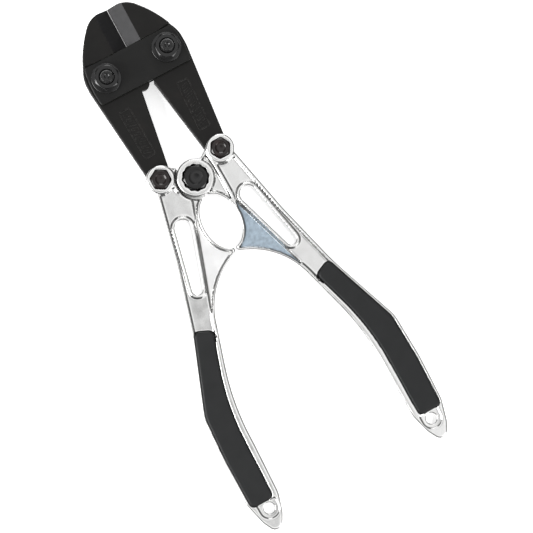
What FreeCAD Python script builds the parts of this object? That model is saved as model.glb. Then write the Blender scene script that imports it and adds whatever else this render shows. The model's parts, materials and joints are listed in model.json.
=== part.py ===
# Compact bolt cutter, lying flat and closed: two forged blades between two side plates,
# and two die-cast handles that meet at a centre bolt and push the blade arms apart.
# Millimetres. +Y points to the jaws and +Z out of the front face. The origin is under the
# middle of the tool's bounding box, on the plane that the lowest bolt heads stand on.
import FreeCAD
import Part
import math
import os

# ---- Mechanism ----
blade_pivot_half = 19.0     # blade bolts, each side of the centre line
arm_length = 64.0           # blade bolt to handle bolt
centre_drop = 8.2           # centre bolt behind the line through the handle bolts
jaw_reach = 34.5            # blade bolts to the tip of the jaws
handle_reach = 195.4        # centre bolt to the end of the handles

# ---- Blades ----
arm_t = 6.0                 # thickness of the forged arms
jaw_t = 10.5                # thickness of the jaws
jaw_corner = 11.5           # where the flat top of a jaw turns outward
jaw_shoulder_out = 3.8      # corner of the jaw's outer edge: out from the bolt
jaw_shoulder_back = 13.0    # and back from the tip
blade_margin = 11.4         # bolt to the blade's outer edge
arm_end_half = 5.45         # arm centre line to its outer edge, at the handle bolt
arm_end_r = 7.0
arm_inner_top = (4.3, -15.5)
arm_inner_end = 6.9         # arm centre line to its inner edge, at the handle bolt
bevel_w = 8.5               # width of each ground cutting face
edge_land = 0.5             # flat left along the cutting edge
cut_gap = 0.2               # between the closed blades along the seam
tooth_r = 3.9               # timing tooth of the left blade
tooth_centre = (2.0, -11.6)
tooth_play = 0.35
tooth_travel = 2.7          # how far the tooth moves into its notch as the jaws open
blade_edge_r = 0.8

# ---- Side plates ----
plate_t = 3.0
plate_front = 10.5          # edge next to the cutting faces
plate_back = 12.3           # edge over the arms
plate_margin = 10.6         # bolt to the plate's end
plate_corner_r = 1.6
plate_edge_r = 0.5
plate_taper_back = 1.3      # the plate is narrower than its full width at the arms
plate_taper_front = 2.3     # and at the jaws
plate_gap = 0.1             # between a plate and the blade that turns under it
jaw_step_gap = 0.3          # between a plate and the thick part of the jaw
jaw_swing_slope = 0.13      # the thick jaw leans back from the plate outside its bolt

# ---- Handles ----
body_t = 14.5
boss_rise = 0.5             # bosses stand proud of the handle's faces
boss_r = 8.1
boss_chamfer = 0.5
eye_r = 10.8
lap_gap = 0.3               # between the two half-thickness eyes
eye_clearance = 1.1         # round each eye, for the play of the centre bolt
stop_gap = 1.2              # between the stops of the closed handles
fork_gap = 0.2              # each side of the arm in its fork
fork_end_gap = 0.4          # round the end of the arm in its fork
body_edge_r = 1.2
rim_w = 2.2                 # raised rim along the outer edge
web_rim_w = 1.3             # raised rim round the oval gap and along the stop's lower edge
panel_depth = 1.3           # sunk panel, below the rim
web_depth = 2.5             # thinner web of the stop, below the rim
rib_w = 1.9
stop_height = 2.6           # stop's face, from the oval gap to its lower corner
oval_half_width = 10.6
oval_top = 11.7             # centre bolt to the front end of the oval gap
oval_bottom = 44.6
slot_top = (20.8, -21.8)
slot_top_r = 4.8
slot_bottom = (30.0, -55.7)
slot_bottom_r = 3.1
slot_rim_w = 1.8
bend_y = -121.0             # where the grips turn parallel
bend_outer = 62.0
bend_inner = 42.4
bend_sweep = 5.5            # the inner bend is this much gentler than its room
tail_outer = 63.5
tail_inner = 42.6
tail_l = 20.0               # the last part of the handle, which narrows
hang_hole_r = 3.2
hang_hole_x = 52.4
hang_hole_end = 12.8        # hole to the end of the handle
hang_ring_w = 2.7
hang_ring_depth = 0.6

# ---- Grip inserts ----
grip_top = 75.8             # centre bolt to the front end of a grip
grip_end = 17.2             # rear end of a grip to the end of the handle
grip_slant = 4.5            # the front end runs back towards the inside
grip_top_outer = 45.1       # handle's outer edge beside the front end of the grip
grip_top_inner = 29.1
grip_rim_outer = 1.9
grip_rim_inner = 4.0
grip_pocket = 3.0
grip_proud = 0.7
grip_gap = 0.1
grip_edge_r = 1.0

# ---- Fasteners (metric hex) ----
m8_r = 4.0
m8_flats = 13.0
m8_head = 5.3
m8_nut = 6.5
m8_thin_nut = 5.0
m8_washer_r = 8.5
m8_inner_washer_r = 8.0
m8_washer_t = 1.6
m6_r = 3.0
m6_flats = 10.0
m6_head = 4.0
m6_nut = 5.0
thread_out = 1.5            # thread left showing past a blade nut
m6_thread_out = 0.8
centre_thread_out = 0.7
washer_chamfer = 0.25
running_gap = 0.05          # blade or arm on its bolt, radial
hole_gap = 0.1              # bolt in a hole that it is clamped in, radial
socket_gap = 0.15           # hex head or nut in its pocket, per flat
open_pivot_gap = 0.95       # centre bolt in the left handle's eye, radial
m6_pocket = 2.8
centre_pocket = 3.6
eccentric = 1.2             # centre bolt's head and front journal, off the pivot's axis
journal_wall = 0.1          # front journal past the rear one, on its thin side
pocket_turn = 13.0          # one corner of the twelve-point pocket, from +X
centre_counterbore = 4.2
counterbore_gap = 1.2       # round the centre washer
bolt_chamfer = 1.2
hex_chamfer = 0.7

# ---- Raised frame on each arm ----
frame_front = 7.7           # plate's edge to the frame
frame_rear = 5.9            # frame to the handle's boss
frame_w = 7.3
frame_line = 0.6
frame_rise = 0.3

# ---- Places worked out from the sizes above ----
pin_y = -arm_length
centre_y = pin_y - centre_drop
plate_outer = arm_t / 2 + plate_gap + plate_t
rest_depth = plate_outer + m8_head
origin_shift = FreeCAD.Vector(0, (handle_reach - centre_y - jaw_reach) / 2, rest_depth)
pin = (blade_pivot_half, centre_drop)
boss_z = body_t / 2 + boss_rise
blade_half_width = blade_pivot_half + blade_margin
plate_half_width = blade_pivot_half + plate_margin
tail_start = -handle_reach + tail_l
tail_middle = (bend_y + tail_start) / 2
bend_inner_r = bend_sweep * (bend_y - tail_middle)
grip_bottom = handle_reach - grip_end
hang_hole = (hang_hole_x, -handle_reach + hang_hole_end)
front_eye_at = (-eccentric, 0.0)
front_journal_r = m8_r + eccentric + journal_wall
frame_l = arm_length - boss_r - frame_rear - plate_back - frame_front
frame_y = -plate_back - frame_front - frame_l / 2
opening = 60.0              # handles fully open, degrees between them
far = 400.0


def vec(x, y, z=0.0):
    return FreeCAD.Vector(x, y, z)


def rounded(points):
    """Closed outline through corners (x, y, radius), each rounded by a tangent arc."""
    edges = []
    count = len(points)
    arcs = []
    for i, (x, y, r) in enumerate(points):
        corner = vec(x, y)
        before = vec(*points[i - 1][:2])
        after = vec(*points[(i + 1) % count][:2])
        d1 = (corner - before).normalize()
        d2 = (after - corner).normalize()
        turn = d1.getAngle(d2)
        if r <= 0 or turn < 1e-6:
            arcs.append((corner, None, corner))
            continue
        tangent = r * math.tan(turn / 2)
        inward = (d2 - d1).normalize()
        middle = corner + inward * (r / math.cos(turn / 2) - r)
        arcs.append((corner - d1 * tangent, middle, corner + d2 * tangent))
    for i, (start, middle, end) in enumerate(arcs):
        if middle is not None:
            edges.append(Part.Arc(start, middle, end).toShape())
        following = arcs[(i + 1) % count][0]
        if end.distanceToPoint(following) > 1e-6:
            edges.append(Part.LineSegment(end, following).toShape())
    return Part.Wire(edges)


def slab(wire, z0, z1):
    """The area inside a flat outline, as a solid from height z0 to z1."""
    solid = Part.Face(wire).extrude(vec(0, 0, z1 - z0))
    solid.translate(vec(0, 0, z0))
    return solid


def disc(centre, r, z0, z1):
    return Part.makeCylinder(r, z1 - z0, vec(centre[0], centre[1], z0))


def block(x0, x1, y0, y1, z0, z1):
    return Part.makeBox(x1 - x0, y1 - y0, z1 - z0, vec(x0, y0, z0))


def tapered_slot(c1, r1, c2, r2):
    """Outline of two circles and the straight lines that touch both."""
    a = vec(*c1)
    b = vec(*c2)
    along = (b - a).normalize()
    across = vec(-along.y, along.x)
    sine = (r1 - r2) / a.distanceToPoint(b)
    cosine = math.sqrt(1 - sine * sine)
    left = along * sine + across * cosine
    right = along * sine - across * cosine
    return Part.Wire([
        Part.Arc(a + left * r1, a - along * r1, a + right * r1).toShape(),
        Part.LineSegment(a + right * r1, b + right * r2).toShape(),
        Part.Arc(b + right * r2, b + along * r2, b + left * r2).toShape(),
        Part.LineSegment(b + left * r2, a + left * r1).toShape(),
    ])


def oval(grow):
    """The oval gap between the closed handles, made larger all round by grow."""
    half_length = (oval_bottom - oval_top) / 2 + grow
    centre = vec(0, -(oval_top + oval_bottom) / 2)
    tip = centre + vec(0, half_length)
    side = centre + vec(oval_half_width + grow, 0)
    return Part.Wire([Part.Ellipse(tip, side, centre).toShape()])


def hexagon(flats, z0, z1, turn=0.0, centre=(0.0, 0.0)):
    """Hexagonal prism with one corner turned turn degrees from +X."""
    corner_r = flats / math.sqrt(3)
    points = []
    for k in range(6):
        angle = math.radians(turn + 60 * k)
        points.append((centre[0] + corner_r * math.cos(angle), centre[1] + corner_r * math.sin(angle), 0))
    return slab(rounded(points), z0, z1)


def chamfered(solid, size, heights):
    """Chamfer a turned solid's round edges that lie at the given heights."""
    edges = [e for e in solid.Edges if any(abs(e.BoundBox.ZMin - z) < 1e-6 and e.BoundBox.ZLength < 1e-6
                                           for z in heights)]
    return solid.makeChamfer(size, edges)


def edge_filleted(solid, r, z_half, keep_out):
    """Round the edges at both faces, apart from those whose middle keep_out picks."""
    edges = []
    for e in solid.Edges:
        flat = e.BoundBox.ZLength < 1e-6 and abs(abs(e.BoundBox.ZMin) - z_half) < 1e-6
        middle = e.valueAt((e.FirstParameter + e.LastParameter) / 2)
        if flat and not keep_out(middle):
            edges.append(e)
    return solid.makeFillet(r, edges)


def both_faces(solid):
    """A cut or a feature on the front face, and the same on the rear face."""
    return solid.fuse(solid.mirror(vec(0, 0), vec(0, 0, 1)))


def mirrored(solid):
    return solid.mirror(vec(0, 0), vec(1, 0, 0))


# ---- Fasteners: axis on Z, front end up ----

def hex_head(flats, z0, z1, turn, chamfer_at):
    corner_r = flats / math.sqrt(3)
    envelope = chamfered(disc((0, 0), corner_r, z0, z1), hex_chamfer, chamfer_at)
    return hexagon(flats, z0, z1, turn).common(envelope)


def bolt(r, flats, head_z0, head_z1, shank_end, turn):
    """A bolt whose head lies between the two heights and whose shank ends at shank_end."""
    if shank_end < head_z0:
        shank = disc((0, 0), r, shank_end, head_z0)
        outer_face = head_z1
    else:
        shank = disc((0, 0), r, head_z1, shank_end)
        outer_face = head_z0
    shank = chamfered(shank, bolt_chamfer * r / m8_r, [shank_end])
    return hex_head(flats, head_z0, head_z1, turn, [outer_face]).fuse(shank).removeSplitter()


def nut(r, flats, z0, z1, turn):
    return hex_head(flats, z0, z1, turn, [z0, z1]).cut(disc((0, 0), r + running_gap, z0 - 1, z1 + 1))


def washer(inner_r, outer_r, z0, z1):
    ring = chamfered(disc((0, 0), outer_r, z0, z1), washer_chamfer, [z0, z1])
    return ring.cut(disc((0, 0), inner_r + hole_gap, z0 - 1, z1 + 1))


# ---- Blades, drawn for the right side and mirrored for the left ----

def blade_outline():
    inner_end = blade_pivot_half - arm_inner_end
    outer_end = blade_pivot_half + arm_end_half
    return rounded([
        (cut_gap / 2, jaw_reach, 0),
        (jaw_corner, jaw_reach, 14),
        (blade_pivot_half + jaw_shoulder_out, jaw_reach - jaw_shoulder_back, 60),
        (blade_half_width, 5.5, 18),
        (blade_half_width + 0.1, -3.0, 25),
        (outer_end, pin_y, 0),
        (inner_end, pin_y, 0),
        (arm_inner_top[0], arm_inner_top[1], 2.0),
        (cut_gap / 2 + 1.2, -7.0, 0),
        (cut_gap / 2, 1.5, 4),
    ])


def blade(has_tooth):
    z_arm = arm_t / 2
    z_jaw = jaw_t / 2
    on_seam = lambda p: p.x < 1.0 or p.y < pin_y + 1
    pin_hole = (blade_pivot_half, pin_y)
    body = edge_filleted(slab(blade_outline(), -z_arm, z_arm), blade_edge_r, z_arm, on_seam)
    body = body.fuse(disc(pin_hole, arm_end_r, -z_arm, z_arm))

    step = plate_front + jaw_step_gap
    outside = blade_half_width + 5
    swing = (outside - blade_pivot_half) * jaw_swing_slope
    thick = rounded([
        (-5, step, 0),
        (blade_pivot_half, step, 0),
        (outside, step + swing, 0),
        (outside, jaw_reach + 5, 0),
        (-5, jaw_reach + 5, 0),
    ])
    jaw = edge_filleted(slab(blade_outline(), -z_jaw, z_jaw), 1.2 * blade_edge_r, z_jaw, on_seam)
    body = body.fuse(jaw.common(slab(thick, -z_jaw, z_jaw)))

    rise = z_jaw - edge_land / 2
    slope_end = bevel_w + bevel_w / rise
    bevel = Part.Face(Part.makePolygon([
        vec(0, plate_front, edge_land / 2),
        vec(slope_end, plate_front, z_jaw + 1),
        vec(-5, plate_front, z_jaw + 1),
        vec(-5, plate_front, edge_land / 2),
        vec(0, plate_front, edge_land / 2),
    ])).extrude(vec(0, jaw_reach, 0))
    body = body.cut(both_faces(bevel))

    if has_tooth:
        body = body.fuse(disc(tooth_centre, tooth_r, -z_arm, z_arm))
    else:
        notch_r = tooth_r + tooth_play
        start = (-tooth_centre[0], tooth_centre[1])
        end = (start[0] + tooth_travel, start[1])
        body = body.cut(slab(tapered_slot(start, notch_r, end, notch_r), -far, far))

    arm_x = (arm_inner_top[0] + blade_half_width + blade_pivot_half) / 3
    lean = math.degrees(math.atan2(blade_pivot_half - arm_x, pin_y - frame_y))
    body = body.fuse(arm_frame(arm_x, lean, z_arm))
    body = body.cut(disc((eccentric, centre_y), eye_r + eye_clearance, -far, far))
    body = body.cut(disc((blade_pivot_half, 0), m8_r + running_gap, -far, far))
    return body.cut(disc(pin_hole, m6_r + running_gap, -far, far)).removeSplitter()


def arm_frame(x, lean, z_face):
    """Low rectangular frame standing on both faces of an arm."""
    half_w = frame_w / 2
    half_l = frame_l / 2
    outer = rounded([(-half_w, -half_l, 1), (half_w, -half_l, 1), (half_w, half_l, 1), (-half_w, half_l, 1)])
    half_w -= frame_line
    half_l -= frame_line
    inner = rounded([(-half_w, -half_l, 0.5), (half_w, -half_l, 0.5), (half_w, half_l, 0.5),
                     (-half_w, half_l, 0.5)])
    ring = slab(outer, z_face - 0.5, z_face + frame_rise).cut(slab(inner, -far, far))
    ring.rotate(vec(0, 0), vec(0, 0, 1), lean)
    ring.translate(vec(x, frame_y))
    return both_faces(ring)


# ---- Side plates ----

def side_plate():
    """The front plate; the rear plate is its mirror image."""
    lower = plate_half_width - plate_taper_back
    upper = plate_half_width - plate_taper_front
    right = [(lower, -plate_back, plate_corner_r), (plate_half_width, -0.5, 60),
             (upper, plate_front, plate_corner_r)]
    left = [(-x, y, r) for x, y, r in reversed(right)]
    z0 = plate_outer - plate_t
    plate = slab(rounded(right + left), z0, plate_outer)
    rim = [e for e in plate.Edges if abs(e.BoundBox.ZMin - plate_outer) < 1e-6]
    plate = plate.makeFillet(plate_edge_r, rim)
    for side in (-1, 1):
        plate = plate.cut(disc((side * blade_pivot_half, 0), m8_r + hole_gap, z0 - 1, plate_outer + 1))
    return plate


# ---- Handles: centre bolt at the origin, drawn for the right side ----

def handle_outline():
    face_x = stop_gap / 2
    return rounded([
        (face_x, 8.3, 0),
        (6.3, 8.3, 2.5),
        (pin[0] - 6.5, pin[1] + 4.4, 2),
        (pin[0] + 3.0, pin[1] + 4.4, 0),
        (pin[0] + 5.9, pin[1] - 3.6, 0),
        (34.3, -37.0, 120),
        (45.9, -78.5, 150),
        (bend_outer, bend_y, 22),
        (tail_outer, tail_middle, 60),
        (tail_outer - 0.5, tail_start, 14),
        (tail_outer - 3.8, -handle_reach + 7, 8),
        (tail_outer - 7.4, -handle_reach, 4.2),
        (tail_inner + 8.2, -handle_reach, 4.2),
        (tail_inner + 4.2, -handle_reach + 7, 8),
        (tail_inner + 0.9, -handle_reach + 18, 14),
        (tail_inner, tail_middle, 60),
        (bend_inner, bend_y, bend_inner_r),
        (23.3, -57.4, 44),
        (face_x, -oval_bottom - stop_height, 1.5),
    ])


def grip_outline(gap):
    """Outline of a grip insert or, with no gap, of the pocket that holds it."""
    outer = grip_rim_outer + gap
    inner = grip_rim_inner + gap
    return rounded([
        (grip_top_outer - outer, -grip_top - gap, 3),
        (bend_outer - outer, bend_y, 20),
        (tail_outer - outer, tail_middle, 60),
        (tail_outer - outer - 0.3, -grip_bottom + gap, 3),
        (tail_inner + inner + 0.6, -grip_bottom + gap, 3),
        (tail_inner + inner, tail_middle, 60),
        (bend_inner + inner, bend_y, bend_inner_r),
        (grip_top_inner + inner, -grip_top - grip_slant - gap, 3),
    ])


def bar_edge(front_eye):
    """Outline of everything on the outer side of the line between bar and web."""
    top = (13.6, -24.0) if front_eye else (9.0, -11.0)
    return rounded([
        (top[0], 30, 0),
        (top[0], top[1], 0),
        (33.6, -84.0, 0),
        (36.0, -120.0, 0),
        (90, -120.0, 0),
        (90, 30, 0),
    ])


def panels(front_eye):
    """The sunk panel of the bar and the thinner web of the stop, cut from one face."""
    z = body_t / 2
    area = Part.Face(handle_outline())
    bar = area.makeOffset2D(-rim_w).extrude(vec(0, 0, far))
    bar.translate(vec(0, 0, z - panel_depth))
    bar = bar.common(slab(bar_edge(front_eye), z - panel_depth, z + 5))
    web = area.makeOffset2D(-web_rim_w).extrude(vec(0, 0, far))
    web.translate(vec(0, 0, z - web_depth))
    web = web.cut(slab(bar_edge(front_eye), -far, far))
    web = web.cut(slab(oval(web_rim_w), -far, far))
    cut = bar.fuse(web)
    cut = cut.common(block(0, 80, -grip_top - grip_slant - 6, 40, 0, z + 5))
    cut = cut.cut(slab(tapered_slot(slot_top, slot_top_r + slot_rim_w, slot_bottom,
                                    slot_bottom_r + slot_rim_w), -far, far))
    return cut.cut(head_ribs(front_eye))


def head_ribs(front_eye):
    """What stays at full height at the head end: bosses, ribs and the ring round the eye."""
    keep = disc(pin, boss_r + 0.8, -far, far)
    if front_eye:
        keep = keep.fuse(disc(front_eye_at, eye_r, -far, far))
        rib = rounded([
            (11.3, 12, 0),
            (13.0, 1.3, 8),
            (13.2, -8.7, 30),
            (13.3, -18.7, 20),
            (11.3, -30.0, 0),
            (11.3 - rib_w, -30.0, 0),
            (13.3 - rib_w, -18.7, 20),
            (13.2 - rib_w, -8.7, 30),
            (13.0 - rib_w, 1.3, 8),
            (11.3 - rib_w, 12, 0),
        ])
        return keep.fuse(slab(rib, -far, far))
    rib = rounded([
        (30, 7.6, 0),
        (0, -11.7, 0),
        (-5, -11.7, 0),
        (-5, 30, 0),
        (30, 30, 0),
    ])
    return keep.fuse(slab(rib, -far, far))


def head_web(front_eye):
    """The flat sunk web between the boss and the eye of the handle whose eye is behind."""
    z = body_t / 2
    web = rounded([
        (21.0, -0.6, 1),
        (8.0, -8.9, 1),
        (2.0, 4.0, 1),
        (2.0, 9.0, 1),
        (11.0, 11.4, 1),
    ])
    web = slab(web, z - panel_depth, z + 5)
    web = web.cut(disc(pin, boss_r + 0.3, -far, far))
    return web.cut(disc((eccentric, 0), eye_r + eye_clearance + web_rim_w, -far, far))


def handle(front_eye, hex_turn):
    z = body_t / 2
    own = 1 if front_eye else -1
    body = slab(handle_outline(), -z, z)
    at_lap = lambda p: p.x < 1.0 or p.y > 0
    body = edge_filleted(body, body_edge_r, z, at_lap)
    body = body.cut(both_faces(panels(front_eye)))
    if not front_eye:
        body = body.cut(both_faces(head_web(front_eye)))
    boss = chamfered(disc(pin, boss_r, -boss_z, boss_z), boss_chamfer, [-boss_z, boss_z])
    body = body.fuse(boss)

    relief_r = eye_r + eye_clearance
    if front_eye:
        body = body.cut(half_disc((0, 0), relief_r, -own, -lap_gap / 2))
    else:
        for turn in (0.0, opening / 2, opening):
            body = body.cut(half_disc(swung(eccentric, -turn), relief_r, -own, -lap_gap / 2))
    eye_at = front_eye_at if front_eye else (0, 0)
    eye = half_disc(eye_at, eye_r, own, lap_gap / 2)
    body = body.fuse(chamfered(eye, boss_chamfer, [own * boss_z]))

    fork_z = arm_t / 2 + fork_gap
    body = body.cut(disc(pin, arm_end_r + fork_end_gap, -fork_z, fork_z))
    body = body.cut(block(pin[0] - arm_inner_end - 1, 60, pin[1], 60, -fork_z, fork_z))

    body = body.cut(slab(tapered_slot(slot_top, slot_top_r, slot_bottom, slot_bottom_r), -far, far))
    body = body.cut(slab(oval(0), -far, far))
    body = body.cut(both_faces(slab(grip_outline(0), z - grip_pocket, z + 5)))
    body = body.cut(disc(hang_hole, hang_hole_r, -far, far))
    ring = slab(tapered_slot(hang_hole, hang_hole_r + hang_ring_w, (hang_hole[0] + 0.2, -grip_bottom),
                             hang_hole_r + hang_ring_w), z - hang_ring_depth, z + 5)
    ring = ring.cut(block(0, 80, -grip_bottom, 0, 0, far))
    body = body.cut(both_faces(ring))

    body = body.cut(disc(pin, m6_r + hole_gap, -far, far))
    socket = m6_flats + 2 * socket_gap
    body = body.cut(both_faces(hexagon(socket, boss_z - m6_pocket, boss_z + 5, hex_turn, pin)))
    if front_eye:
        body = body.cut(disc(front_eye_at, front_journal_r + hole_gap, -far, far))
        for turn in (pocket_turn, pocket_turn + 30):
            body = body.cut(hexagon(m8_flats + 2 * socket_gap, boss_z - centre_pocket, far, turn,
                                    front_eye_at))
    else:
        body = body.cut(disc((0, 0), m8_r + open_pivot_gap, -far, far))
        bore_r = m8_inner_washer_r + counterbore_gap
        body = body.cut(disc((0, 0), bore_r, -far, -boss_z + centre_counterbore))
    return body.removeSplitter()


def half_disc(centre, r, half, start):
    """A disc by the centre bolt, from start outwards in the front (1) or rear (-1) half."""
    if half > 0:
        return disc(centre, r, start, boss_z)
    return disc(centre, r, -boss_z, -start)


def swung(radius, degrees):
    return (radius * math.cos(math.radians(degrees)), radius * math.sin(math.radians(degrees)))


def centre_bolt(head_z0, shank_end):
    """Adjusting bolt: the head and the front journal are off the axis of the rear journal."""
    front = disc((0, 0), front_journal_r, 0, head_z0)
    head = hex_head(m8_flats, head_z0, head_z0 + m8_head, pocket_turn + 30, [head_z0 + m8_head])
    front = front.fuse(head).translated(vec(*front_eye_at))
    rear = chamfered(disc((0, 0), m8_r, shank_end, head_z0), bolt_chamfer, [shank_end])
    return front.fuse(rear).removeSplitter()


def grip():
    """The front insert; the rear insert is its mirror image."""
    z0 = body_t / 2 - grip_pocket
    z1 = body_t / 2 + grip_proud
    insert = slab(grip_outline(grip_gap), z0, z1)
    rim = [e for e in insert.Edges if abs(e.BoundBox.ZMin - z1) < 1e-6]
    return insert.makeFillet(grip_edge_r, rim)


# ---- Assembly ----

def build():
    nodes = {}
    centre = vec(0, centre_y)
    front_nut = plate_outer + m8_washer_t
    bolt_end = front_nut + m8_nut + thread_out
    blade_bolt = bolt(m8_r, m8_flats, -plate_outer - m8_head, -plate_outer, bolt_end, 0)
    m6_seat = boss_z - m6_pocket
    handle_bolt_end = -m6_seat - m6_nut - m6_thread_out
    centre_seat = boss_z - centre_pocket
    washer_seat = -boss_z + centre_counterbore
    centre_nut_face = washer_seat - m8_washer_t

    plate = side_plate()
    nodes["front_plate"] = plate
    nodes["rear_plate"] = plate.mirror(vec(0, 0), vec(0, 0, 1))
    nodes["right_blade"] = blade(has_tooth=False)
    nodes["left_blade"] = mirrored(blade(has_tooth=True))

    handles = {"left": mirrored(handle(False, 30)), "right": handle(True, 0)}
    hex_turns = {"left": 30, "right": 0}
    nut_turns = {"left": 0, "right": 30}
    grip_shape = grip()
    for name, side in (("left", -1), ("right", 1)):
        pivot = vec(side * blade_pivot_half, 0)
        pin_at = vec(side * blade_pivot_half, pin_y)
        nodes[name + "_blade_bolt"] = blade_bolt.translated(pivot)
        nodes[name + "_blade_washer"] = washer(m8_r, m8_washer_r, plate_outer, front_nut).translated(pivot)
        nodes[name + "_blade_nut"] = nut(m8_r, m8_flats, front_nut, front_nut + m8_nut,
                                         nut_turns[name]).translated(pivot)

        nodes[name + "_handle"] = handles[name].translated(centre)
        nodes[name + "_handle_bolt"] = bolt(m6_r, m6_flats, m6_seat, m6_seat + m6_head, handle_bolt_end,
                                            hex_turns[name]).translated(pin_at)
        nodes[name + "_handle_nut"] = nut(m6_r, m6_flats, -m6_seat - m6_nut, -m6_seat,
                                          hex_turns[name]).translated(pin_at)
        side_grip = grip_shape if side > 0 else mirrored(grip_shape)
        nodes[name + "_grip_front"] = side_grip.translated(centre)
        nodes[name + "_grip_rear"] = side_grip.mirror(vec(0, 0), vec(0, 0, 1)).translated(centre)

    centre_end = centre_nut_face - m8_thin_nut - centre_thread_out
    nodes["centre_bolt"] = centre_bolt(centre_seat, centre_end).translated(centre)
    nodes["centre_washer"] = washer(m8_r, m8_inner_washer_r, centre_nut_face, washer_seat).translated(centre)
    nodes["centre_nut"] = nut(m8_r, m8_flats, centre_nut_face - m8_thin_nut, centre_nut_face,
                              0).translated(centre)
    return {name: shape.translated(origin_shift) for name, shape in nodes.items()}


def main():
    os.makedirs("parts", exist_ok=True)
    for name, shape in build().items():
        solid = shape.Solids[0] if len(shape.Solids) == 1 else shape
        solid.exportStep("parts/" + name + ".step")
        box = solid.BoundBox
        print("%-20s solids %d valid %s  X %.2f %.2f  Y %.2f %.2f  Z %.2f %.2f" % (
            name, len(shape.Solids), solid.isValid(), box.XMin, box.XMax, box.YMin, box.YMax,
            box.ZMin, box.ZMax))


main()
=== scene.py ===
"""Looks of a compact bolt cutter: polished die-cast handles, blackened forged blades, rubber grips."""
import json
import math

import bmesh
import bpy
from mathutils import Matrix, Vector


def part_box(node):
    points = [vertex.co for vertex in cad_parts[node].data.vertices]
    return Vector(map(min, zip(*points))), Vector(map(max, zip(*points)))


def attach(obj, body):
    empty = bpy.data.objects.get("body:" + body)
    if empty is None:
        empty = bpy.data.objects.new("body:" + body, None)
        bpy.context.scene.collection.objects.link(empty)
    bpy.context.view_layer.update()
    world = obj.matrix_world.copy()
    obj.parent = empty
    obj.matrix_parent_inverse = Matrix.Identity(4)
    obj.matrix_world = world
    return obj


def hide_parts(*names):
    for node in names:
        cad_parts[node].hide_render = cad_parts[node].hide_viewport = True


MM = 0.001
MIDDLE = 11.4 * MM          # height of the tool's middle plane
BLADE_BOLT_Y = 116.55 * MM

# Standard bolts: width across flats, shank radius, thread pitch, height of the head.
M8_FLATS, M8_R, M8_PITCH, M8_HEAD = 13 * MM, 4 * MM, 1.25 * MM, 5.3 * MM
M6_FLATS, M6_R, M6_PITCH, M6_HEAD = 10 * MM, 3 * MM, 1.0 * MM, 4.0 * MM
BLADE_SEAT = -6.1 * MM      # under the heads of the blade bolts, from the middle plane
HANDLE_SEAT = 4.95 * MM
CENTRE_SEAT = 4.15 * MM
ECCENTRIC = -1.2 * MM       # centre bolt's head and front journal, off its rear shank
JOURNAL_R = 5.3 * MM

HANDLE_VOXEL = 0.485 * MM   # fineness of the cast and moulded skins
GRIP_VOXEL = 0.36 * MM

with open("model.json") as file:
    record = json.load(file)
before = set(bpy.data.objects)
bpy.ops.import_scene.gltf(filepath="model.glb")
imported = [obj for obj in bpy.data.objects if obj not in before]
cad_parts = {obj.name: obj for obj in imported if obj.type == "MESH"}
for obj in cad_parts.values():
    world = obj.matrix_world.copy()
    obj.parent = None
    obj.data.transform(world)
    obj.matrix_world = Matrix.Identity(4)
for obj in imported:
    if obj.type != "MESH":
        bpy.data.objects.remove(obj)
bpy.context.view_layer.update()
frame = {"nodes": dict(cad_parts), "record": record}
nodes = frame["nodes"]
bodies = {name: body
          for body, names in frame["record"]["behaviour"]["bodies"].items()
          for name in names}


# ---- Camera, floor and lights ----

def set_camera():
    """A long lens nearly square to the tool's face, which lies slanted across the picture."""
    aim = Vector((10.93, -18.49, 13.5)) * MM
    distance = 1.1
    azimuth = math.radians(168.2)
    tilt = math.radians(6.5)
    roll = math.radians(-28.19)
    view = Vector((math.sin(tilt) * math.cos(azimuth),
                   math.sin(tilt) * math.sin(azimuth),
                   math.cos(tilt)))
    right = Vector((0, 1, 0)).cross(view).normalized()
    up = view.cross(right)
    across = math.cos(roll) * right + math.sin(roll) * up
    upward = view.cross(across)
    data = bpy.data.cameras.new("camera")
    data.sensor_width = 36
    data.lens = 131.71
    data.clip_end = 10
    camera = bpy.data.objects.new("camera", data)
    turn = Matrix((across, upward, view)).transposed().to_4x4()
    camera.matrix_world = Matrix.Translation(aim + view * distance) @ turn
    bpy.context.scene.collection.objects.link(camera)
    bpy.context.scene.camera = camera


def area_light(name, place, aim, size, power):
    """A soft rectangular lamp that faces a point."""
    data = bpy.data.lights.new(name, "AREA")
    data.shape = "RECTANGLE"
    data.size = size[0]
    data.size_y = size[1]
    data.energy = power
    light = bpy.data.objects.new(name, data)
    light.location = place
    light.rotation_euler = (Vector(aim) - Vector(place)).to_track_quat("-Z", "Y").to_euler()
    bpy.context.scene.collection.objects.link(light)


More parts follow.
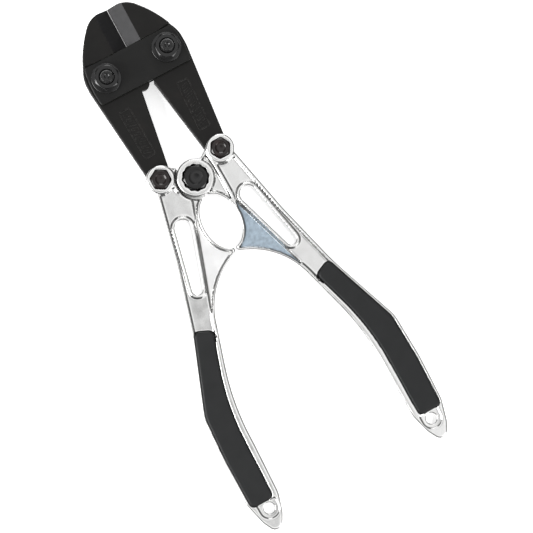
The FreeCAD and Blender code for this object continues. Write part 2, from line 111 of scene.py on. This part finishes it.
class Shader:
    """Adds nodes to a tree; an input is a number, a colour or another node's output."""

    def __init__(self, owner):
        self.tree = owner.node_tree

    def add(self, kind, inputs=None, output=0, **settings):
        node = self.tree.nodes.new("ShaderNode" + kind)
        for key, value in settings.items():
            setattr(node, key, value)
        for key, value in (inputs or {}).items():
            self.put(node.inputs[key], value)
        return node.outputs[output]

    def put(self, socket, value):
        if isinstance(value, bpy.types.NodeSocket):
            self.tree.links.new(value, socket)
        else:
            socket.default_value = value

    def ramp(self, factor, *stops):
        """Colour ramp through (position, grey or colour) stops."""
        node = self.tree.nodes.new("ShaderNodeValToRGB")
        elements = node.color_ramp.elements
        while len(elements) < len(stops):
            elements.new(0.5)
        for element, (position, colour) in zip(elements, stops):
            element.position = position
            colour = colour if isinstance(colour, tuple) else (colour, colour, colour)
            element.color = (*colour, 1)
        self.put(node.inputs["Fac"], factor)
        return node.outputs["Color"]

    def math(self, operation, a, b=0.0):
        return self.add("Math", {0: a, 1: b}, operation=operation)

    def noise(self, place, scale, detail=4, roughness=0.55):
        return self.add("TexNoise", {"Vector": place, "Scale": scale, "Detail": detail,
                                     "Roughness": roughness})

    def mix(self, factor, a, b, blend="MIX"):
        return self.add("Mix", {0: factor, 6: a, 7: b}, output=2, data_type="RGBA", blend_type=blend)

    def bump(self, height, depth, strength, normal=None):
        inputs = {"Height": height, "Distance": depth, "Strength": strength}
        if normal is not None:
            inputs["Normal"] = normal
        return self.add("Bump", inputs)


def grey(value):
    return (value, value, value, 1)


def set_world():
    """A white tent with a darker band above the horizon and a dimmer patch overhead."""
    world = bpy.data.worlds.new("tent")
    world.use_nodes = True
    bpy.context.scene.world = world
    s = Shader(world)
    place = s.add("TexCoord")
    parts = s.tree.nodes.new("ShaderNodeSeparateXYZ")
    s.put(parts.inputs[0], place)
    bands = s.ramp(parts.outputs["Z"], (0.0, 0.30), (0.35, 0.16), (0.74, 0.20), (0.90, 1.0), (1.0, 1.0))
    off = s.add("VectorMath", {0: place, 1: (-0.02, -0.05, 1.0)}, output=1, operation="DISTANCE")
    patch = s.ramp(off, (0.085, 0.24), (0.185, 1.0))
    colour = s.mix(1.0, bands, patch, "MULTIPLY")
    back = s.tree.nodes["Background"]
    s.put(back.inputs["Color"], colour)
    back.inputs["Strength"].default_value = 1.03


def set_stage():
    """A pale paper floor and three soft lamps."""
    bpy.ops.mesh.primitive_plane_add(size=6)
    floor = bpy.context.object
    floor.name = "floor"
    paper = bpy.data.materials.new("paper")
    paper.use_nodes = True
    s = Shader(paper)
    place = s.add("TexCoord", output=3)
    shader = s.tree.nodes["Principled BSDF"]
    s.put(shader.inputs["Base Color"], s.ramp(s.noise(place, 40.0), (0.0, 0.955), (1.0, 0.965)))
    shader.inputs["Roughness"].default_value = 0.95
    shader.inputs["Emission Color"].default_value = grey(1.0)
    shader.inputs["Emission Strength"].default_value = 0.62
    shader.inputs["Specular IOR Level"].default_value = 0.05
    floor.data.materials.append(paper)
    area_light("key", (-1.1, 0.1, 0.9), (0, 0, 0), (0.8, 0.8), 24)
    area_light("far", (0.6, 1.1, 0.8), (0, 0, 0), (0.7, 0.7), 7)
    area_light("near", (0.5, -1.1, 0.8), (0, 0, 0), (0.7, 0.7), 7)
    bpy.context.scene.view_settings.view_transform = "Standard"


# ---- Materials ----

def new_material(name):
    """A material with its shader helper, its surface shader and object coordinates."""
    material = bpy.data.materials.new(name)
    material.use_nodes = True
    s = Shader(material)
    return material, s, s.tree.nodes["Principled BSDF"], s.add("TexCoord", output=3)


def worn_edges(s, reach, low, high):
    """1 along convex edges, from the difference between the true and a rounded normal."""
    rounded = s.add("Bevel", {"Radius": reach}, samples=6)
    true = s.add("NewGeometry", output=1)
    alike = s.add("VectorMath", {0: rounded, 1: true}, output=1, operation="DOT_PRODUCT")
    return s.add("MapRange", {"Value": alike, 1: high, 2: low, 3: 0.0, 4: 1.0})


def alloy(name, painted_web_reflection, painted_web_reflection_dark):
    """Polished die-cast aluminium: fine lengthwise scratches, soft waviness, painted shade in the inner
    corners, painted reflection darkening the rounded edges and walls, and a painted reflection tint on the
    lower web.
    """
    material, s, shader, place = new_material(name)
    point = s.add("NewGeometry", output=7)
    lengthwise = s.add("Mapping", {"Vector": place, "Scale": (1.0, 0.05, 1.0)})
    scratches = s.noise(lengthwise, 5200.0, 3, 0.7)
    waves = s.noise(place, 75.0, 2)
    cloud = s.noise(place, 240.0, 5)
    colour = s.ramp(cloud, (0.3, (0.88, 0.88, 0.87)), (0.7, (0.93, 0.93, 0.925)))

    height = s.tree.nodes.new("ShaderNodeSeparateXYZ")
    s.put(height.inputs[0], place)
    above = s.math("ABSOLUTE", s.math("SUBTRACT", height.outputs["Z"], MIDDLE))
    facing = s.tree.nodes.new("ShaderNodeSeparateXYZ")
    s.put(facing.inputs[0], s.add("NewGeometry", output=1))
    upright = s.math("ABSOLUTE", facing.outputs["Z"])
    flat = s.add("MapRange", {"Value": upright, 1: 0.8, 2: 0.95})
    low = s.add("MapRange", {"Value": above, 1: 5.5 * MM, 2: 5.0 * MM})
    web = s.math("MULTIPLY", flat, low)
    behind = s.add("MapRange", {"Value": height.outputs["Y"], 1: 26 * MM, 2: 19 * MM})
    web = s.math("MULTIPLY", web, behind)
    # Painted reflection: the lower web tinted by the given colour and mottled, blue-grey and darker on the
    # right handle, near white on the left.
    mottle = s.ramp(s.noise(place, 420.0, 6, 0.7), (0.35, painted_web_reflection_dark), (0.65, 1.12))
    painted_web_reflection_tint = s.mix(0.8, painted_web_reflection, mottle, "MULTIPLY")
    colour = s.mix(web, colour, painted_web_reflection_tint)
    # Painted shade: the hollow inner corners darkened by their pointiness.
    painted_corner_shade = s.ramp(point, (0.42, 0.16), (0.495, 1.0))
    colour = s.mix(0.85, colour, painted_corner_shade, "MULTIPLY")
    # Painted reflection: rounded edges and side walls darkened by how steeply they face, standing in for
    # the dark reflections along the rims.
    painted_edge_shade = s.ramp(upright, (0.0, 0.74), (0.35, 0.66), (0.62, 0.46), (0.93, 0.56), (0.985, 1.0))
    s.put(shader.inputs["Base Color"], s.mix(1.0, colour, painted_edge_shade, "MULTIPLY"))
    shader.inputs["Metallic"].default_value = 1.0
    rough = s.add("MapRange", {"Value": s.noise(place, 160.0, 5, 0.6), 1: 0.3, 2: 0.7, 3: 0.16, 4: 0.27})
    s.put(shader.inputs["Roughness"], s.math("ADD", rough, s.math("MULTIPLY", web, 0.14)))
    normal = s.bump(waves, 0.35 * MM, 0.10)
    normal = s.bump(scratches, 0.010 * MM, 0.35, normal)
    s.put(shader.inputs["Normal"], normal)
    return material


def blackened(name, base, warm, roughness, grain, grain_depth, specular, wear=0.35, coat=0.0):
    """Black oxide or paint on steel: mottled, finely pitted, rubbed brighter along its edges."""
    material, s, shader, place = new_material(name)
    mottle = s.noise(place, 95.0, 6, 0.65)
    colour = s.ramp(mottle, (0.25, tuple(0.72 * c for c in base)), (0.55, base), (0.8, warm))
    rubbed = s.ramp(s.noise(place, 700.0, 5, 0.7), (0.42, 0.0), (0.62, 1.0))
    edges = s.mix(1.0, worn_edges(s, 0.35 * MM, 0.90, 0.985), rubbed, "MULTIPLY")
    amount = s.math("MULTIPLY", edges, wear)
    s.put(shader.inputs["Base Color"], s.mix(amount, colour, (0.16, 0.155, 0.15, 1)))
    s.put(shader.inputs["Roughness"], s.add("MapRange", {
        "Value": s.noise(place, 330.0, 6, 0.6), 1: 0.3, 2: 0.7, 3: roughness - 0.07, 4: roughness + 0.1}))
    shader.inputs["Specular IOR Level"].default_value = specular
    shader.inputs["Coat Weight"].default_value = coat
    shader.inputs["Coat Roughness"].default_value = 0.12
    normal = s.bump(s.noise(place, grain * 0.12, 3), 0.12 * MM, 0.25)
    normal = s.bump(s.noise(place, grain, 5, 0.6), grain_depth, 0.5, normal)
    s.put(shader.inputs["Normal"], normal)
    return material


def ground_steel():
    """The ground cutting faces: dark grey steel with fine grinding lines across the edge."""
    material, s, shader, place = new_material("ground_steel")
    across = s.add("Mapping", {"Vector": place, "Scale": (0.05, 1.0, 0.05)})
    lines = s.noise(across, 4200.0, 4, 0.75)
    cloud = s.noise(place, 260.0, 4)
    colour = s.ramp(cloud, (0.3, (0.012, 0.0118, 0.0128)), (0.7, (0.019, 0.0185, 0.020)))
    s.put(shader.inputs["Base Color"], s.mix(0.35, colour, s.ramp(lines, (0.35, 0.009), (0.65, 0.026))))
    shader.inputs["Metallic"].default_value = 0.55
    s.put(shader.inputs["Roughness"], s.add("MapRange", {"Value": lines, 1: 0.3, 2: 0.7, 3: 0.42, 4: 0.58}))
    s.put(shader.inputs["Normal"], s.bump(lines, 0.02 * MM, 0.5))
    return material


def rubber():
    """Moulded black rubber with a fine leather grain."""
    material, s, shader, place = new_material("grip")
    cloud = s.noise(place, 120.0, 4)
    colour = s.ramp(cloud, (0.3, (0.0060, 0.0066, 0.0070)), (0.7, (0.0085, 0.0091, 0.0096)))
    s.put(shader.inputs["Base Color"], colour)
    s.put(shader.inputs["Roughness"], s.add("MapRange", {"Value": cloud, 1: 0.3, 2: 0.7, 3: 0.44, 4: 0.56}))
    shader.inputs["Specular IOR Level"].default_value = 0.34
    cells = s.add("TexVoronoi", {"Vector": place, "Scale": 1500.0}, feature="SMOOTH_F1")
    normal = s.bump(cells, 0.05 * MM, 0.35)
    s.put(shader.inputs["Normal"], s.bump(s.noise(place, 260.0, 3), 0.1 * MM, 0.15, normal))
    return material


FORGED = blackened("forged_black", (0.0050, 0.0047, 0.0042), (0.0075, 0.0064, 0.0055),
                   0.44, 900.0, 0.06 * MM, 0.22)
PLATE = blackened("plate_black", (0.0055, 0.0055, 0.0052), (0.0072, 0.0068, 0.0062),
                  0.38, 1300.0, 0.035 * MM, 0.25)
ZINC = blackened("black_zinc", (0.0040, 0.0040, 0.0042), (0.0055, 0.0052, 0.0048),
                 0.17, 1600.0, 0.012 * MM, 0.4, 0.25, 0.25)
BROWNED = blackened("browned_steel", (0.0075, 0.0045, 0.0042), (0.022, 0.0085, 0.0070),
                    0.20, 1600.0, 0.012 * MM, 0.4, 0.5, 0.2)
GROUND = ground_steel()
RUBBER = rubber()
# One alloy for both handles; only the painted reflection on the lower web differs, blue-grey on the right
# handle and near white on the left.
ALLOY = {
    "left": alloy("alloy_left", (0.99, 0.99, 0.98, 1), 0.98),
    "right": alloy("alloy_right", (0.47, 0.57, 0.66, 1), 0.66),
}


# ---- Meshes ----

def merged(node):
    """A copy of a CAD node's mesh with its faces joined."""
    mesh = bmesh.new()
    mesh.from_mesh(nodes[node].data)
    bmesh.ops.remove_doubles(mesh, verts=mesh.verts, dist=1e-6)
    return mesh


def piece(name, mesh, node, *materials):
    """Turns a bmesh into a piece that stands for a CAD node, moves with its body and has its slot."""
    data = bpy.data.meshes.new(name)
    mesh.to_mesh(data)
    mesh.free()
    for attribute in ("custom_normal", "sharp_face"):
        if attribute in data.attributes:
            data.attributes.remove(data.attributes[attribute])
    data.materials.clear()
    for material in materials:
        data.materials.append(material)
    made = bpy.data.objects.new(name, data)
    bpy.context.scene.collection.objects.link(made)
    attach(made, bodies[node])
    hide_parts(node)
    return made


def smooth_by_angle(data, degrees):
    """Smooth shading, with edges sharper than the angle kept crisp."""
    mesh = bmesh.new()
    mesh.from_mesh(data)
    for face in mesh.faces:
        face.smooth = True
    for edge in mesh.edges:
        edge.smooth = len(edge.link_faces) == 2 and edge.calc_face_angle() < math.radians(degrees)
    mesh.to_mesh(data)
    mesh.free()


def applied(made):
    """Puts a piece's modifiers into its mesh."""
    graph = bpy.context.evaluated_depsgraph_get()
    data = bpy.data.meshes.new_from_object(made.evaluated_get(graph))
    made.modifiers.clear()
    made.data = data


def cast_piece(name, node, material, voxel, passes):
    """A moulded piece: the CAD shape with every edge and corner softly rounded."""
    made = piece(name, merged(node), node, material)
    remesh = made.modifiers.new("skin", "REMESH")
    remesh.mode = "VOXEL"
    remesh.voxel_size = voxel
    remesh.adaptivity = 0.0
    soft = made.modifiers.new("soft", "SMOOTH")
    soft.factor = 0.5
    soft.iterations = passes
    applied(made)
    for polygon in made.data.polygons:
        polygon.use_smooth = True
    return made


def edged_piece(name, node, width, *materials, added=None):
    """A machined or forged piece: the CAD shape with its sharp edges broken."""
    mesh = merged(node)
    bmesh.ops.dissolve_limit(mesh, angle_limit=math.radians(0.4), verts=mesh.verts, edges=mesh.edges)
    if added:
        added(mesh)
    made = piece(name, mesh, node, *materials)
    broken = made.modifiers.new("broken", "BEVEL")
    broken.width = width
    broken.segments = 2
    broken.limit_method = "ANGLE"
    broken.angle_limit = math.radians(28)
    broken.harden_normals = False
    applied(made)
    smooth_by_angle(made.data, 32)
    normals = made.modifiers.new("normals", "WEIGHTED_NORMAL")
    normals.keep_sharp = True
    return made


def turned(mesh, centre, rows, steps, closed):
    """Adds a shape made of rings.

    A row is (radius, height) or (radius, height, sideways shift); the first two may be
    functions of the angle.
    """
    rings = []
    for row in rows:
        radius, height = row[:2]
        shift = row[2] if len(row) > 2 else 0.0
        ring = []
        for k in range(steps):
            angle = 2 * math.pi * k / steps
            r = radius(angle) if callable(radius) else radius
            z = height(angle) if callable(height) else height
            x = centre[0] + shift + r * math.cos(angle)
            y = centre[1] + r * math.sin(angle)
            ring.append(mesh.verts.new((x, y, z)))
        rings.append(ring)
    last = len(rings) if closed else len(rings) - 1
    for i in range(last):
        a, b = rings[i], rings[(i + 1) % len(rings)]
        for k in range(steps):
            n = (k + 1) % steps
            mesh.faces.new((a[k], a[n], b[n], b[k]))
    if not closed:
        mesh.faces.new(list(reversed(rings[0])))
        mesh.faces.new(rings[-1])
    return mesh


def hex_radius(flats, turn):
    """Radius of a hexagon's edge at an angle, with its corners slightly rounded."""
    corner = flats / math.sqrt(3) - 0.16 * MM

    def radius(angle):
        part = (math.degrees(angle) - turn) % 60 - 30
        return min(flats / 2 / math.cos(math.radians(part)), corner)
    return radius


def hex_rows(flats, z0, z1, turn, cone_low, cone_high):
    """Rows of a hexagon's wall, whose corners are cut back by a cone at the ends that have one."""
    radius = hex_radius(flats, turn)
    start = flats / 2 * 0.965
    slope = math.tan(math.radians(30))

    def fall(angle):
        return max(radius(angle) - start, 0) * slope

    rows = []
    if cone_low:
        rows += [(start, z0), (radius, lambda a: z0 + fall(a))]
    else:
        rows += [(radius, z0)]
    if cone_high:
        rows += [(radius, lambda a: z1 - fall(a)), (start, z1)]
    else:
        rows += [(radius, z1)]
    return rows


def finish_turned(made, width):
    """Breaks the edges of a turned piece and smooths its shading."""
    broken = made.modifiers.new("broken", "BEVEL")
    broken.width = width
    broken.segments = 2
    broken.limit_method = "ANGLE"
    broken.angle_limit = math.radians(24)
    applied(made)
    smooth_by_angle(made.data, 40)
    normals = made.modifiers.new("normals", "WEIGHTED_NORMAL")
    normals.keep_sharp = True


def closed_up(mesh):
    bmesh.ops.recalc_face_normals(mesh, faces=mesh.faces)
    return mesh


def middle(node):
    """Centre of a CAD node's box seen from the front, and its lowest and highest point."""
    low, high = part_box(node)
    return ((low.x + high.x) / 2, (low.y + high.y) / 2), low.z, high.z


def nut_piece(name, node, flats, bolt_r, turn, material):
    """A hexagon nut with a countersunk bore."""
    centre, z0, z1 = middle(node)
    bore = bolt_r + 0.05 * MM
    sink = bore + 0.45 * MM
    rows = [(bore, z0 + 0.45 * MM), (bore, z1 - 0.45 * MM), (sink, z1)]
    rows += list(reversed(hex_rows(flats, z0, z1, turn, True, True))) + [(sink, z0)]
    mesh = closed_up(turned(bmesh.new(), centre, rows, 96, True))
    made = piece(name, mesh, node, material)
    finish_turned(made, 0.09 * MM)
    return made


def washer_piece(name, node, bolt_r, outer_r, material):
    """A stamped washer, rounded on its front edge."""
    centre, z0, z1 = middle(node)
    inner = bolt_r + 0.1 * MM
    edge = 0.35 * MM
    rows = [(inner, z0 + 0.1 * MM), (inner, z1 - 0.1 * MM), (inner + 0.1 * MM, z1)]
    for k in range(5):
        turn = math.radians(90 - 22.5 * k)
        rows.append((outer_r - edge + edge * math.cos(turn), z1 - edge + edge * math.sin(turn)))
    rows += [(outer_r, z0 + 0.12 * MM), (outer_r - 0.12 * MM, z0), (inner + 0.1 * MM, z0)]
    mesh = closed_up(turned(bmesh.new(), centre, rows, 96, True))
    made = piece(name, mesh, node, material)
    smooth_by_angle(made.data, 35)
    return made


def thread_rows(r, pitch, start, end, cut):
    """Rows of a screw thread running from start to end, fading out into a chamfered tip."""
    depth = 0.6 * pitch
    way = 1 if end > start else -1
    per_turn = 8
    length = abs(end - start)
    count = int(length / pitch * per_turn)
    rows = []
    for i in range(count + 1):
        z = start + (end - start) * i / count
        left = abs(end - z)
        limit = r - max(0.0, cut - left) * 0.9

        def radius(angle, z=z, limit=limit, i=i):
            phase = (z * way / pitch - angle / (2 * math.pi)) % 1
            groove = r - depth * (1 - abs(2 * phase - 1)) * min(1.0, i / per_turn)
            return min(groove, limit)
        rows.append((radius, z))
    return rows


def tip_rows(r, end, way, dimple):
    """The end of a bolt: a flat face with a shallow round dimple."""
    return [(r, end), (dimple, end), (dimple * 0.72, end - way * 0.35 * MM),
            (dimple * 0.3, end - way * 0.5 * MM)]


def bolt_piece(name, node, flats, r, pitch, head_z, head_h, thread_l, turn, material,
               centre=None, journal=None):
    """A hexagon bolt. head_z is the seat under the head; a negative head_h puts the head below."""
    found, z0, z1 = middle(node)
    centre = centre or found
    up = head_h > 0
    outer = head_z + head_h
    end = z0 if up else z1
    way = -1 if up else 1
    shift = journal["shift"] if journal else 0.0
    rows = []
    top = hex_rows(flats, min(head_z, outer), max(head_z, outer), turn, not up, up)
    if up:
        top = list(reversed(top))
    dish = flats / 2 * 0.62
    rows += [(dish * 0.15, outer + way * 0.62 * MM, shift), (dish * 0.55, outer + way * 0.55 * MM, shift),
             (dish * 0.85, outer + way * 0.34 * MM, shift), (dish, outer + way * 0.06 * MM, shift),
             (dish + 0.25 * MM, outer, shift)]
    rows += [(*row, shift) for row in top]
    if journal:
        rows += [(journal["r"], head_z, shift), (journal["r"], journal["end"], shift), (r, journal["end"])]
    else:
        rows += [(r, head_z)]
    start = end - way * thread_l
    rows += [(r, start)]
    cut = 1.0 * MM * r / (4 * MM)
    rows += thread_rows(r, pitch, start + way * 0.1 * MM, end - way * 0.01 * MM, cut)[1:]
    rows += tip_rows(r - cut * 0.95, end, way, (r - cut) * 0.5)
    mesh = closed_up(turned(bmesh.new(), centre, rows, 96, False))
    made = piece(name, mesh, node, material)
    finish_turned(made, 0.07 * MM)
    return made


def raised_bars(mesh, sign):
    """A row of small slanted bars standing on both faces of an arm, inside its frame."""
    lean = math.radians(-2.2 * sign)
    slant = math.radians(18 * sign)
    centre = Vector((17.9 * MM * sign, BLADE_BOLT_Y - 35 * MM, 0))
    for side in (-1, 1):
        for k in range(9):
            along = (k - 4) * 2.9 * MM
            long = (1.9 if k % 3 else 2.5) * MM
            rings = []
            for height, inset in ((2.7, 0.0), (3.12, 0.0), (3.27, 0.15)):
                half_l = long - inset * MM
                half_w = (0.62 - inset) * MM
                ring = []
                for u, v in ((-1, -1), (1, -1), (1, 1), (-1, 1)):
                    corner = Vector((u * half_l, v * half_w, 0))
                    place = Matrix.Rotation(slant, 3, "Z") @ corner + Vector((0, along, 0))
                    place = Matrix.Rotation(lean, 3, "Z") @ place + centre
                    ring.append(mesh.verts.new((place.x, place.y, MIDDLE + side * height * MM)))
                rings.append(ring)
            for a, b in zip(rings, rings[1:]):
                for i in range(4):
                    mesh.faces.new((a[i], a[(i + 1) % 4], b[(i + 1) % 4], b[i]))
            mesh.faces.new(list(reversed(rings[0])))
            mesh.faces.new(rings[-1])
    bmesh.ops.recalc_face_normals(mesh, faces=mesh.faces)


# ---- Pieces ----

def mark_ground(made, sign):
    """Gives the flat cutting faces beside the seam their own material."""
    for polygon in made.data.polygons:
        n = polygon.normal
        slope = abs(n.x * sign - 0.507) < 0.05 and abs(abs(n.z) - 0.862) < 0.05
        polygon.material_index = 1 if slope and polygon.center.y > BLADE_BOLT_Y + 10 * MM else 0


for side, sign in (("left", 1), ("right", -1)):
    cast_piece(side + "_handle_cast", side + "_handle", ALLOY[side], HANDLE_VOXEL, 2)
    for face in ("front", "rear"):
        cast_piece(side + "_grip_" + face + "_moulded", side + "_grip_" + face, RUBBER, GRIP_VOXEL, 5)
    arm_side = -sign
    blade = edged_piece(side + "_blade_forged", side + "_blade", 0.22 * MM, FORGED, GROUND,
                        added=lambda mesh: raised_bars(mesh, arm_side))
    mark_ground(blade, sign)
    nut_turn = 0 if side == "left" else 30
    bolt_piece(side + "_blade_bolt_hex", side + "_blade_bolt", M8_FLATS, M8_R, M8_PITCH,
               MIDDLE + BLADE_SEAT, -M8_HEAD, 11 * MM, 0, ZINC)
    washer_piece(side + "_blade_washer_round", side + "_blade_washer", M8_R, 8.5 * MM, ZINC)
    nut_piece(side + "_blade_nut_hex", side + "_blade_nut", M8_FLATS, M8_R, nut_turn, ZINC)
    hex_turn = 30 if side == "left" else 0
    bolt_piece(side + "_handle_bolt_hex", side + "_handle_bolt", M6_FLATS, M6_R, M6_PITCH,
               MIDDLE + HANDLE_SEAT, M6_HEAD, 6.5 * MM, hex_turn, BROWNED)
    nut_piece(side + "_handle_nut_hex", side + "_handle_nut", M6_FLATS, M6_R, hex_turn, BROWNED)

for face in ("front", "rear"):
    edged_piece(face + "_plate_stamped", face + "_plate", 0.2 * MM, PLATE)

hub, _, _ = middle("centre_nut")
bolt_piece("centre_bolt_hex", "centre_bolt", M8_FLATS, M8_R, M8_PITCH,
           MIDDLE + CENTRE_SEAT, M8_HEAD, 6 * MM, 43, ZINC, hub,
           {"shift": ECCENTRIC, "r": JOURNAL_R, "end": MIDDLE})
washer_piece("centre_washer_round", "centre_washer", M8_R, 8 * MM, ZINC)
nut_piece("centre_nut_hex", "centre_nut", M8_FLATS, M8_R, 0, ZINC)

set_camera()
set_world()
set_stage()
